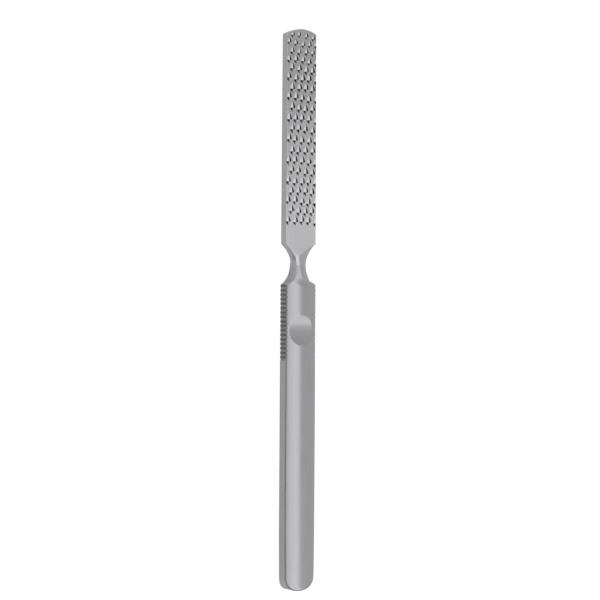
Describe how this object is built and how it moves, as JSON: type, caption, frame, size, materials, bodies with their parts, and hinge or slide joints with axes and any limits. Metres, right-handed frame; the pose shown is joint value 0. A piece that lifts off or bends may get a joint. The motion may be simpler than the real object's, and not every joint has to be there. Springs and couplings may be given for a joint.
{
  "type": "foot file",
  "caption": "Stainless foot rasp: flat head with staggered punched teeth, waisted neck and a hollow domed handle with a thumb rest and notched edges.",
  "frame": {"origin": "Midway along the length and across the width, on the flat along the rear of the handle.", "axes": "+Y runs from the butt to the tip, +X across the width, +Z out of the coarse face and the thumb rest."},
  "size_m": [0.0108, 0.18, 0.0079],
  "materials": {
    "blade": "satin",
    "shell": "satin",
    "weld": "ground flush",
    "braze": "as flowed"
  },
  "bodies": {
    "root": {"rasp_blade": "blade", "handle_front_shell": "shell", "handle_rear_shell": "shell", "handle_seam_weld": "weld", "tang_braze": "braze"}
  },
  "joints": []
}
